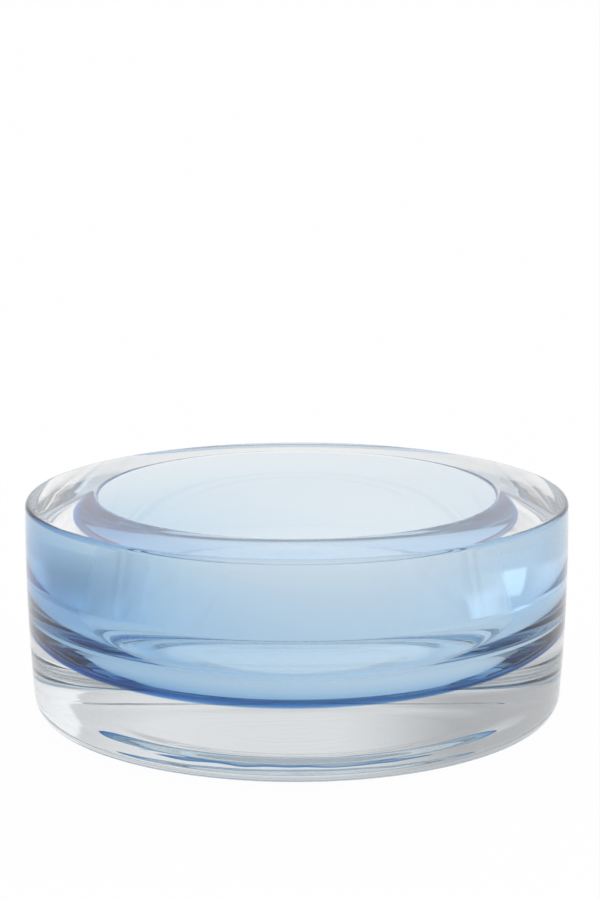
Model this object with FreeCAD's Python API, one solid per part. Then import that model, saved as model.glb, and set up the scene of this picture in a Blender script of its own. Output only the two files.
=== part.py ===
import FreeCAD, Part
import math
import os

# Thick-walled glass bowl for floating candles: a thin blue lining blown inside a heavy clear casing.
# Millimetres, +Z up. The origin is the centre of the foot, on the plane that the bowl stands on.

# Outer form of the clear casing
outer_radius = 100.0
outer_radius_height = 62.0
heel_top_radius = 98.7
heel_height = 20.5
foot_radius = 93.4
shoulder_radius = 99.8
shoulder_height = 76.9
shoulder_round = 2.0

# Underside of the base, ground to a flat foot ring round a shallow polished recess with a sloped edge
recess_radius = 54.0
recess_slope = 10.0
recess_depth = 0.7

# Mouth and hollow of the bowl, which is wider at its floor than at its mouth
mouth_radius = 73.0
lip_height = 80.2
cavity_radius = 81.0
floor_height = 22.0
cove_radius = 22.0

# Blue glass: thickest round the cove, thinner under the floor and drawn out thin to the lip
cove_lining = 1.6
floor_lining = 0.8
lip_lining = 0.5

full_turn = 360.0


def at(radius, height):
    """A point of the section, which lies in the XZ plane."""
    return FreeCAD.Vector(radius, 0, height)


def line(start, end):
    return Part.LineSegment(start, end).toShape()


def arc(start, middle, end):
    return Part.Arc(start, middle, end).toShape()


def halfway(first, second):
    """The unit vector halfway between two others."""
    middle = first + second
    return middle.normalize()


def to_the_left(direction):
    """A vector of the section turned a quarter turn, from right to up."""
    return at(-direction.z, direction.x)


def tangent_direction(centre, radius, point):
    """The way from a circle's centre to where a tangent through the point touches it.

    Seen from the centre, that is on the right of the point.
    """
    span = point - centre
    bearing = math.atan2(span.z, span.x) - math.acos(radius / span.Length)
    return at(math.cos(bearing), math.sin(bearing))


def turned(edges):
    """The solid that a closed section sweeps round the bowl's axis."""
    face = Part.Face(Part.Wire(edges))
    return face.revolve(at(0, 0), up, full_turn)


up = at(0, 1)

# The hollow's skin: flat floor, round cove and a wall that leans in to the lip
lip = at(mouth_radius, lip_height)
cove_centre = at(cavity_radius - cove_radius, floor_height + cove_radius)
square_to_wall = tangent_direction(cove_centre, cove_radius, lip)
cove_diagonal = halfway(-up, square_to_wall)
floor_middle = at(0, floor_height)
floor_edge = cove_centre - up * cove_radius
cove_middle = cove_centre + cove_diagonal * cove_radius
wall_foot = cove_centre + square_to_wall * cove_radius

# The joint of the two glasses: floor, low bevel, high bevel and wall, where the bevels touch a circle
# round the cove that is one lining thickness larger
joint_radius = cove_radius + cove_lining
joint_top = lip + at(lip_lining, 0)
joint_floor = at(0, floor_height - floor_lining)
square_to_joint = tangent_direction(cove_centre, joint_radius, joint_top)
joint_diagonal = halfway(-up, square_to_joint)
square_to_low = halfway(-up, joint_diagonal)
square_to_high = halfway(joint_diagonal, square_to_joint)
joint_low_bevel = cove_centre + square_to_low * joint_radius
joint_high_bevel = cove_centre + square_to_high * joint_radius


def crossing(first, first_run, second, second_run):
    """Where two straight lines of the section cross, each given by a point and a direction."""
    square = to_the_left(second_run)
    share = (second - first).dot(square) / first_run.dot(square)
    return first + first_run * share


level = at(1, 0)
low_run = to_the_left(square_to_low)
high_run = to_the_left(square_to_high)
wall_run = to_the_left(square_to_joint)
joint_low = crossing(joint_floor, level, joint_low_bevel, low_run)
joint_middle = crossing(joint_low_bevel, low_run, joint_high_bevel, high_run)
joint_high = crossing(joint_top, wall_run, joint_high_bevel, high_run)


def blue_lining():
    """The blue cup: the hollow's skin inside, the joint with the casing outside."""
    return turned([
        line(floor_middle, floor_edge),
        arc(floor_edge, cove_middle, wall_foot),
        line(wall_foot, lip),
        line(lip, joint_top),
        line(joint_top, joint_high),
        line(joint_high, joint_middle),
        line(joint_middle, joint_low),
        line(joint_low, joint_floor),
        line(joint_floor, floor_middle),
    ])


def clear_casing():
    """The thick clear glass that wraps the lining and makes the base, wall and rim."""
    foot_edge = at(foot_radius, 0)
    recess_edge = at(recess_radius, 0)
    recess_rim = at(recess_radius - recess_slope, recess_depth)
    recess_middle = at(0, recess_depth)
    heel_top = at(heel_top_radius, heel_height)
    widest = at(outer_radius, outer_radius_height)
    shoulder = at(shoulder_radius, shoulder_height)
    wall = Part.Arc(heel_top, widest, shoulder)

    # The heel carries the wall on in one arc to the ground foot
    inward = to_the_left(wall.tangent(wall.FirstParameter)[0])
    chord = foot_edge - heel_top
    heel_radius = chord.dot(chord) / (chord.dot(inward) * 2)
    heel_centre = heel_top + inward * heel_radius
    to_foot = (foot_edge - heel_centre).normalize()
    heel_middle = heel_centre + halfway(-inward, to_foot) * heel_radius

    # The shoulder carries the wall over to the rim, which rises from there to the lining
    from_shoulder = to_the_left(wall.tangent(wall.LastParameter)[0])
    shoulder_centre = shoulder + from_shoulder * shoulder_round
    square_to_rim = tangent_direction(shoulder_centre, shoulder_round, joint_top)
    rim_edge = shoulder_centre + square_to_rim * shoulder_round
    shoulder_middle = shoulder_centre + halfway(-from_shoulder, square_to_rim) * shoulder_round

    return turned([
        line(recess_middle, joint_floor),
        line(joint_floor, joint_low),
        line(joint_low, joint_middle),
        line(joint_middle, joint_high),
        line(joint_high, joint_top),
        line(joint_top, rim_edge),
        arc(rim_edge, shoulder_middle, shoulder),
        wall.toShape(),
        arc(heel_top, heel_middle, foot_edge),
        line(foot_edge, recess_edge),
        line(recess_edge, recess_rim),
        line(recess_rim, recess_middle),
    ])


parts = {
    "clear_casing": clear_casing(),
    "blue_lining": blue_lining(),
}

os.makedirs("parts", exist_ok=True)
for name, shape in parts.items():
    shape.exportStep("parts/" + name + ".step")
    print(name, "valid", shape.isValid(), "solids", len(shape.Solids), "volume", round(shape.Volume))
shared = parts["clear_casing"].common(parts["blue_lining"])
print("overlap of casing and lining", round(shared.Volume, 3))
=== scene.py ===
import math

import bmesh
import bpy
from mathutils import Matrix, Vector, noise


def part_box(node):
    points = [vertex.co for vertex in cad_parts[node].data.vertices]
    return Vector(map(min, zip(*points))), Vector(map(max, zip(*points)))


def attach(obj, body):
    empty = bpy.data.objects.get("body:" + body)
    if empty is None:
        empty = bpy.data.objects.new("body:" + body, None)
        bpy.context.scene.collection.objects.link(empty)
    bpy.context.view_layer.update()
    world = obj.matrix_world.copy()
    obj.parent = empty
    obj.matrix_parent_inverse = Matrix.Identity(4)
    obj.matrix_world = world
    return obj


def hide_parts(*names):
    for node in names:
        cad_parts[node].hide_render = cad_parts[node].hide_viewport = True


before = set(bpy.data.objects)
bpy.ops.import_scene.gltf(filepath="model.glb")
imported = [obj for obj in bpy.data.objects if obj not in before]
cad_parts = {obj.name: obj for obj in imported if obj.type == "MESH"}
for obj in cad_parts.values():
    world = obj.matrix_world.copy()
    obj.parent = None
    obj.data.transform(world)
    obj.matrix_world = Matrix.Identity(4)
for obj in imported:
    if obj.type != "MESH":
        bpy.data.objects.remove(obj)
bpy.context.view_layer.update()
scene = bpy.context.scene
mm = 0.001  # the frame is in metres, the shapes below are worked out in millimetres
onAxis = 1e-6  # a point nearer to the axis than this lies on it
segments = 288  # of a full turn, the same in both glasses
print("frame loaded:", ", ".join(sorted(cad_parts)))


# Sections: the bowl is drawn as half sections, points of (radius, height), and turned round its axis

def arcPoints(centreRadius, centreHeight, width, height, startAngle, endAngle, steps):
    points = []
    for i in range(steps + 1):
        angle = math.radians(startAngle + (endAngle - startAngle) * i / steps)
        points.append((centreRadius + width * math.cos(angle),
                       centreHeight + height * math.sin(angle)))
    return points


def runPoints(start, end, steps, crown=0.0):
    # a straight run, or one that swells sideways by the crown in its middle
    spanX, spanZ = end[0] - start[0], end[1] - start[1]
    length = math.hypot(spanX, spanZ)
    points = []
    for i in range(steps + 1):
        along = i / steps
        swell = 4 * along * (1 - along) * crown / length
        points.append((start[0] + spanX * along - spanZ * swell,
                       start[1] + spanZ * along + spanX * swell))
    return points


def between(value, stops):
    # straight-line interpolation in a list of (position, value)
    for (low, first), (high, second) in zip(stops, stops[1:]):
        if value <= high:
            return first + (second - first) * (value - low) / (high - low)
    return stops[-1][1]


hollowShape = {
    "mouthRadius": 73.0,
    "lipHeight": 80.15,
    "lipRound": 1.5,
    "widestRadius": 79.0,
    "coveWidth": 22.0,
    "coveHeight": 22.0,
    "floorHeight": 22.0,
    "wallSwell": -1.6,  # below zero the wall bows in towards the axis
    "meetingFrom": 80.0,
    "meetingStep": 0.1,
    "meetingTries": 900,
    "lipSteps": 10,
    "wallSteps": 28,
    "coveSteps": 40,
    "floorSteps": 30,
}


def hollowSection():
    # from the lip down the wall, round the cove and to the middle of the floor
    h = hollowShape
    lip = (h["mouthRadius"] + h["lipRound"], h["lipHeight"] - h["lipRound"])
    cove = (h["widestRadius"] - h["coveWidth"], h["floorHeight"] + h["coveHeight"])
    lipRun = arcPoints(*lip, h["lipRound"], h["lipRound"], 90.0, 180.0, h["lipSteps"])
    lipFoot = lipRun[-1]
    meeting = 0.0  # angle of the cove where a straight wall meets it without a bend
    for step in range(h["meetingTries"]):
        tried = h["meetingFrom"] - step * h["meetingStep"]
        angle = math.radians(tried)
        point = (cove[0] + h["coveWidth"] * math.cos(angle),
                 cove[1] + h["coveHeight"] * math.sin(angle))
        facing = ((lipFoot[0] - point[0]) * math.cos(angle) / h["coveWidth"]
                  + (lipFoot[1] - point[1]) * math.sin(angle) / h["coveHeight"])
        if facing <= 0:
            meeting = tried
            break
    coveRun = arcPoints(*cove, h["coveWidth"], h["coveHeight"], meeting, -90.0, h["coveSteps"])
    wallRun = runPoints(lipFoot, coveRun[0], h["wallSteps"], h["wallSwell"])[1:-1]
    floorRun = runPoints(coveRun[-1], (0.0, h["floorHeight"]), h["floorSteps"])[1:]
    return lipRun, wallRun, coveRun, floorRun


casingShape = {
    "insideSolid": 0.06,  # how far the wall stays inside the turned solid
    "widestHeight": 62.0,
    "heelTopRadius": 98.0,
    "heelHeight": 8.0,
    "footRadius": 92.6,
    "shoulderRadius": 99.75,
    "shoulderTop": 78.75,
    "shoulderRound": 2.0,
    "shoulderEnd": 86.0,
    "rimCrown": 0.3,
    "underside": [(36.0, 0.0), (50.0, 1.0), (60.0, 0.0)],  # a shallow groove: radius, height
    "innerSteps": 56,
    "grooveSteps": 20,
    "footSteps": 40,
    "heelSteps": 24,
    "wallSteps": 32,
    "shoulderSteps": 14,
    "rimSteps": 24,
}


def casingSection(widestRadius):
    # from the middle of the underside, round the foot, heel, wall and shoulder to the lip
    c = casingShape
    top = hollowShape["mouthRadius"] + hollowShape["lipRound"], hollowShape["lipHeight"]
    points = runPoints((0.0, c["underside"][0][1]), c["underside"][0], c["innerSteps"])
    for start, end in zip(c["underside"], c["underside"][1:]):
        for i in range(1, c["grooveSteps"] + 1):
            along = i / c["grooveSteps"]
            share = along * along * (3 - 2 * along)
            points.append((start[0] + (end[0] - start[0]) * along,
                           start[1] + (end[1] - start[1]) * share))
    points += runPoints(points[-1], (c["footRadius"], 0.0), c["footSteps"])[1:]
    heelWidth = c["heelTopRadius"] - c["footRadius"]
    points += arcPoints(c["footRadius"], c["heelHeight"], heelWidth, c["heelHeight"],
                        -90, 0, c["heelSteps"])[1:]
    # the wall is one gentle curve through the heel's top, the widest ring and the shoulder
    low, widest, high = c["heelHeight"], c["widestHeight"], c["shoulderTop"] - c["shoulderRound"]
    radii = (c["heelTopRadius"], widestRadius, c["shoulderRadius"])
    for i in range(1, c["wallSteps"] + 1):
        z = low + (high - low) * i / c["wallSteps"]
        shares = ((z - widest) * (z - high) / ((low - widest) * (low - high)),
                  (z - low) * (z - high) / ((widest - low) * (widest - high)),
                  (z - low) * (z - widest) / ((high - low) * (high - widest)))
        points.append((sum(r * s for r, s in zip(radii, shares)), z))
    points += arcPoints(c["shoulderRadius"] - c["shoulderRound"], high, c["shoulderRound"],
                        c["shoulderRound"], 0, c["shoulderEnd"], c["shoulderSteps"])[1:]
    points += runPoints(points[-1], top, c["rimSteps"], c["rimCrown"])[1:-1]
    return points


# Hand-made unevenness: the blown walls and the rim wander a little from the true circle,
# and the underside keeps faint marks of its grinding

unevenness = {
    "wallWander": 0.035,
    "wallWavelength": 26.0,
    "wallPlace": (5.7, 7.3, 1.9),  # where in the noise the pattern is taken from
    "wallFade": 10.0,
    "wallFromRadius": 80.0,
    "rimWander": 0.05,
    "rimWavelength": 15.0,
    "rimPlace": (3.1, 7.3, 1.9),
    "rimFromHeight": 77.0,
    "groundWander": 0.035,
    "groundWavelength": 4.0,
    "groundSweep": 0.35,
    "groundToHeight": 2.0,
    "groundFade": 4.0,
}


def wander(point, wavelength, place):
    return noise.noise(point / wavelength + Vector(place))


def turnedPiece(name, sectionAt, shift=None):
    # one closed skin, swept round the axis from the section at each angle
    angles = [2 * math.pi * k / segments for k in range(segments)]
    sections = [sectionAt(angle) for angle in angles]
    rings, vertices, faces = [], [], []
    for i, (firstRadius, firstHeight) in enumerate(sections[0]):
        if firstRadius < onAxis:
            rings.append([len(vertices)])
            vertices.append(Vector((0, 0, firstHeight)))
            continue
        rings.append(range(len(vertices), len(vertices) + segments))
        for angle, section in zip(angles, sections):
            radius, height = section[i]
            vertices.append(Vector((radius * math.cos(angle), radius * math.sin(angle), height)))
    for lower, upper in zip(rings, rings[1:]):
        for k in range(segments):
            n = (k + 1) % segments
            if len(lower) == 1:
                faces.append((lower[0], upper[k], upper[n]))
            elif len(upper) == 1:
                faces.append((lower[k], upper[0], lower[n]))
            else:
                faces.append((lower[k], upper[k], upper[n], lower[n]))
    if shift:
        vertices = [shift(v) for v in vertices]
    mesh = bpy.data.meshes.new(name)
    mesh.from_pydata([v * mm for v in vertices], [], faces)
    shell = bmesh.new()
    shell.from_mesh(mesh)
    bmesh.ops.recalc_face_normals(shell, faces=shell.faces)
    shell.to_mesh(mesh)
    shell.free()
    mesh.shade_smooth()
    piece = bpy.data.objects.new(name, mesh)
    scene.collection.objects.link(piece)
    return piece


# Clear casing: the thick glass with the whole outer form and the hollow's polished skin

clearGlassLook = {
    "tint": (1.0, 1.0, 1.0),
    "ior": 1.5,
    # the grey absorption is partly the glass's own faint tint and partly painted shade: it darkens
    # what is seen through the base, in place of the table's shadow under the bowl
    "tintAndPaintedShadeColour": (0.2, 0.24, 0.265),
    "tintAndPaintedShadeDensity": 4.2,
}


def clearGlass():
    material = bpy.data.materials.new("clearGlass")
    material.use_nodes = True
    nodes, links = material.node_tree.nodes, material.node_tree.links
    shader = nodes["Principled BSDF"]
    shader.inputs["Base Color"].default_value = (*clearGlassLook["tint"], 1)
    shader.inputs["Transmission Weight"].default_value = 1.0
    shader.inputs["IOR"].default_value = clearGlassLook["ior"]
    shader.inputs["Roughness"].default_value = 0.0
    # the body's grey is partly the glass's own tint and partly painted shade for the table's shadow
    # under the bowl
    body = nodes.new("ShaderNodeVolumeAbsorption")
    body.inputs["Color"].default_value = (*clearGlassLook["tintAndPaintedShadeColour"], 1)
    body.inputs["Density"].default_value = clearGlassLook["tintAndPaintedShadeDensity"]
    links.new(body.outputs[0], nodes["Material Output"].inputs["Volume"])
    return material


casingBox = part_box("clear_casing")
casingWidest = casingBox[1].x / mm - casingShape["insideSolid"]
lipRun, wallRun, coveRun, floorRun = hollowSection()


def casingShift(v):
    radius = math.hypot(v.x, v.y)
    if radius < onAxis:
        return v
    u = unevenness
    out = Vector((v.x / radius, v.y / radius, 0))
    if v.z < u["groundToHeight"] and radius < casingShape["footRadius"]:
        # grinding marks, long round the axis and short across it
        along = out * u["groundSweep"] * radius / u["groundWavelength"]
        mark = noise.noise(Vector((along.x, along.y, radius / u["groundWavelength"])))
        fade = min(1.0, (casingShape["footRadius"] - radius) / u["groundFade"])
        return v + Vector((0, 0, fade * u["groundWander"] * (1 + mark)))
    if v.z > u["rimFromHeight"]:
        sink = u["rimWander"] * (1 + wander(v, u["rimWavelength"], u["rimPlace"]))
        return v - Vector((0, 0, sink))
    if radius > u["wallFromRadius"]:
        fade = min(1.0, v.z / u["wallFade"])
        return v - out * fade * u["wallWander"] * (1 + wander(v, u["wallWavelength"], u["wallPlace"]))
    return v


casingOutline = casingSection(casingWidest) + lipRun + wallRun + coveRun + floorRun
casing = turnedPiece("clearCasing", lambda angle: casingOutline, casingShift)
casing.data.materials.append(clearGlass())
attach(casing, "root")
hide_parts("clear_casing")
print("clear casing made:", len(casing.data.vertices), "points")


# Blue lining: a cup of blue glass that starts a hair under the hollow's skin, thins out at the lip,
# gathers at the foot of the cove and was blown off centre, so that it is thicker on one side

liningShape = {
    "skin": 0.05,
    "floorThickness": [(36.0, 0.2), (50.0, 0.4), (58.0, 1.3)],  # radius, thickness
    "coveThickness": [(0.0, 1.6), (0.45, 0.7), (0.75, 0.8), (0.92, 1.4), (1.0, 1.3)],  # along the cove
    "lowWallThickness": 1.6,
    "midWallThickness": 1.1,
    "lipThickness": 0.5,
    "lipReach": 3.0,
    "topGap": 0.3,
    "heavySide": -130.0,
    "heavyShare": 0.55,
    "heavyFade": 20.0,
}

blueGlassLook = {
    "colour": (0.107, 0.536, 0.839),
    "density": 280.0,
}


def blueGlass():
    # only its body shows: the skin that shines is the casing's
    material = bpy.data.materials.new("blueGlass")
    material.use_nodes = True
    nodes, links = material.node_tree.nodes, material.node_tree.links
    nodes.remove(nodes["Principled BSDF"])
    clear = nodes.new("ShaderNodeBsdfTransparent")
    body = nodes.new("ShaderNodeVolumeAbsorption")
    body.inputs["Color"].default_value = (*blueGlassLook["colour"], 1)
    body.inputs["Density"].default_value = blueGlassLook["density"]
    links.new(clear.outputs[0], nodes["Material Output"].inputs["Surface"])
    links.new(body.outputs[0], nodes["Material Output"].inputs["Volume"])
    return material


def liningSection(angle):
    # the hollow's skin and its outer offset, each square to the wall by the thickness there
    t = liningShape
    top = hollowShape["lipHeight"] - t["topGap"]
    lean = t["heavyShare"] * math.cos(angle - math.radians(t["heavySide"]))
    wall = [point for point in lipRun + wallRun if point[1] < top]
    skin = wall + coveRun + floorRun
    thicknesses = [between(point[1], wallStops) for point in wall]
    thicknesses += [between(i / (len(coveRun) - 1), t["coveThickness"]) for i in range(len(coveRun))]
    thicknesses += [between(point[0], floorStops) for point in floorRun]
    inner, outer = [], []
    for i, point in enumerate(skin):
        before, after = skin[max(i - 1, 0)], skin[min(i + 1, len(skin) - 1)]
        runX, runZ = after[0] - before[0], after[1] - before[1]
        length = math.hypot(runX, runZ)
        square = (-runZ / length, runX / length)
        fade = min(1.0, (hollowShape["lipHeight"] - point[1]) / t["heavyFade"])
        thickness = thicknesses[i] * (1 + lean * fade * point[0] / hollowShape["widestRadius"])
        for side, depth in ((inner, t["skin"]), (outer, t["skin"] + thickness)):
            side.append((max(point[0] + square[0] * depth, 0.0), point[1] + square[1] * depth))
    inner[-1] = (0.0, inner[-1][1])
    outer[-1] = (0.0, outer[-1][1])
    return inner[::-1] + outer


wallFoot, wallTop = coveRun[0][1], hollowShape["lipHeight"]
wallStops = [(wallFoot, liningShape["lowWallThickness"]),
             ((wallFoot + wallTop) / 2, liningShape["midWallThickness"]),
             (wallTop - liningShape["lipReach"], liningShape["lipThickness"]),
             (wallTop, liningShape["lipThickness"])]
floorStops = [(0.0, liningShape["floorThickness"][0][1])] + liningShape["floorThickness"]
lining = turnedPiece("blueLining", liningSection)
lining.data.materials.append(blueGlass())
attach(lining, "root")
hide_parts("blue_lining")
print("blue lining made:", len(lining.data.vertices), "points")


# Studio: a white table under an even sky of white walls and grey flags

tableLook = {
    "reach": 40.0,
    "colour": (0.95, 0.95, 0.95),
    "glow": 0.97,  # seen straight or through glass it is nearly white, the rest keeps the shadow
    "drop": 0.2,
}


def paleTable():
    material = bpy.data.materials.new("tablePaint")
    material.use_nodes = True
    nodes, links = material.node_tree.nodes, material.node_tree.links
    nodes.remove(nodes["Principled BSDF"])
    paint = nodes.new("ShaderNodeBsdfDiffuse")
    paint.inputs["Color"].default_value = (*tableLook["colour"], 1)
    glow = nodes.new("ShaderNodeEmission")
    path = nodes.new("ShaderNodeLightPath")
    seen = path.outputs["Is Camera Ray"]
    for kind in ("Is Glossy Ray", "Is Transmission Ray"):
        either = nodes.new("ShaderNodeMath")
        either.operation = "MAXIMUM"
        links.new(seen, either.inputs[0])
        links.new(path.outputs[kind], either.inputs[1])
        seen = either.outputs[0]
    share = nodes.new("ShaderNodeMath")
    share.operation = "MULTIPLY"
    share.inputs[1].default_value = tableLook["glow"]
    links.new(seen, share.inputs[0])
    mix = nodes.new("ShaderNodeMixShader")
    links.new(share.outputs[0], mix.inputs[0])
    links.new(paint.outputs[0], mix.inputs[1])
    links.new(glow.outputs[0], mix.inputs[2])
    links.new(mix.outputs[0], nodes["Material Output"].inputs["Surface"])
    return material


reach = tableLook["reach"]
tableMesh = bpy.data.meshes.new("studioTable")
tableMesh.from_pydata([(-reach, -reach, 0), (reach, -reach, 0), (reach, reach, 0), (-reach, reach, 0)],
                      [], [(0, 1, 2, 3)])
table = bpy.data.objects.new("studioTable", tableMesh)
table.location.z = -tableLook["drop"] * mm
table.data.materials.append(paleTable())
scene.collection.objects.link(table)

# The sky's brightness by elevation, and its soft-edged patches: azimuth from the back (0) over
# the right (90), elevation, all in degrees
skyTones = [(-2, 1.0), (8, 1.0), (13, 1.38), (30, 1.38), (50, 0.9), (90, 1.0)]
skyZones = [
    {"azimuth": 180, "elevation": 20, "halfWidth": 70, "halfHeight": 60, "edge": 25, "tone": 0.65},
    {"azimuth": -55, "elevation": 16, "halfWidth": 40, "halfHeight": 14, "edge": 12, "tone": 0.75},
    {"azimuth": 80, "elevation": 18, "halfWidth": 50, "halfHeight": 16, "edge": 12, "tone": 1.1},
    {"azimuth": 78, "elevation": 18, "halfWidth": 36, "halfHeight": 8, "edge": 1.5, "tone": 1.6},
]


def mathNode(tree, operation, first, second=None):
    node = tree.nodes.new("ShaderNodeMath")
    node.operation = operation
    for socket, value in zip(node.inputs, (first, second)):
        if value is None:
            continue
        if isinstance(value, (int, float)):
            socket.default_value = value
        else:
            tree.links.new(value, socket)
    return node.outputs[0]


def softStep(tree, value, low, high):
    step = tree.nodes.new("ShaderNodeMapRange")
    step.interpolation_type = "SMOOTHSTEP"
    tree.links.new(value, step.inputs["Value"])
    step.inputs["From Min"].default_value = low
    step.inputs["From Max"].default_value = high
    return step.outputs[0]


def makeSky():
    world = bpy.data.worlds.new("studioSky")
    scene.world = world
    world.use_nodes = True
    tree = world.node_tree
    direction = tree.nodes.new("ShaderNodeTexCoord").outputs["Generated"]
    split = tree.nodes.new("ShaderNodeSeparateXYZ")
    tree.links.new(direction, split.inputs[0])
    degrees = 180 / math.pi
    elevation = mathNode(tree, "ARCSINE", split.outputs["Z"])
    elevation = mathNode(tree, "MULTIPLY", elevation, degrees)
    azimuth = mathNode(tree, "ARCTAN2", split.outputs["X"], split.outputs["Y"])
    azimuth = mathNode(tree, "MULTIPLY", azimuth, degrees)
    tone = skyTones[0][1]
    for (low, first), (high, second) in zip(skyTones, skyTones[1:]):
        if second == first:
            continue
        climb = mathNode(tree, "MULTIPLY", softStep(tree, elevation, low, high), second - first)
        tone = mathNode(tree, "ADD", climb, tone)
    for zone in skyZones:
        # distance round the horizon, the short way
        away = mathNode(tree, "SUBTRACT", azimuth, float(zone["azimuth"]))
        turns = mathNode(tree, "ROUND", mathNode(tree, "DIVIDE", away, 360.0))
        away = mathNode(tree, "SUBTRACT", away, mathNode(tree, "MULTIPLY", turns, 360.0))
        away = mathNode(tree, "ABSOLUTE", away)
        above = mathNode(tree, "SUBTRACT", elevation, float(zone["elevation"]))
        above = mathNode(tree, "ABSOLUTE", above)
        edge = zone["edge"]
        within = mathNode(tree, "MULTIPLY",
                          softStep(tree, away, zone["halfWidth"] + edge, zone["halfWidth"] - edge),
                          softStep(tree, above, zone["halfHeight"] + edge, zone["halfHeight"] - edge))
        gap = mathNode(tree, "SUBTRACT", float(zone["tone"]), tone)
        tone = mathNode(tree, "ADD", tone, mathNode(tree, "MULTIPLY", within, gap))
    background = tree.nodes["Background"]
    tree.links.new(tone, background.inputs["Strength"])
    background.inputs["Color"].default_value = (1, 1, 1, 1)


makeSky()
print("studio made")


# Camera: a step back from the table, looking a little down

cameraView = {
    "distance": 0.900,
    "elevation": 11.52,
    "lookHeight": 0.09558,
    "focalPixels": 2449.39,
    "imageWidth": 600,
    "imageHeight": 900,
    "bowlMiddle": 296.66,
    "roll": -0.09,
    "sensor": 36.0,
}


def makeCamera():
    c = cameraView
    tilt = math.radians(c["elevation"])
    look = Vector((0, 0, c["lookHeight"]))
    position = look + c["distance"] * Vector((0, -math.cos(tilt), math.sin(tilt)))
    lens = bpy.data.cameras.new("camera")
    lens.sensor_width = c["sensor"]
    lens.lens = c["sensor"] * c["focalPixels"] / c["imageHeight"]
    camera = bpy.data.objects.new("camera", lens)
    scene.collection.objects.link(camera)
    pan = math.atan((c["imageWidth"] / 2 - c["bowlMiddle"]) / c["focalPixels"])
    facing = (look - position).to_track_quat("-Z", "Y").to_matrix().to_4x4()
    camera.matrix_world = (Matrix.Translation(position) @ Matrix.Rotation(-pan, 4, "Z")
                           @ facing @ Matrix.Rotation(math.radians(c["roll"]), 4, "Z"))
    scene.camera = camera


makeCamera()
print("camera placed")

# Light has to cross many walls of glass
scene.view_settings.view_transform = "Standard"
scene.cycles.max_bounces = 40
scene.cycles.transmission_bounces = 40
scene.cycles.glossy_bounces = 24
scene.cycles.transparent_max_bounces = 64
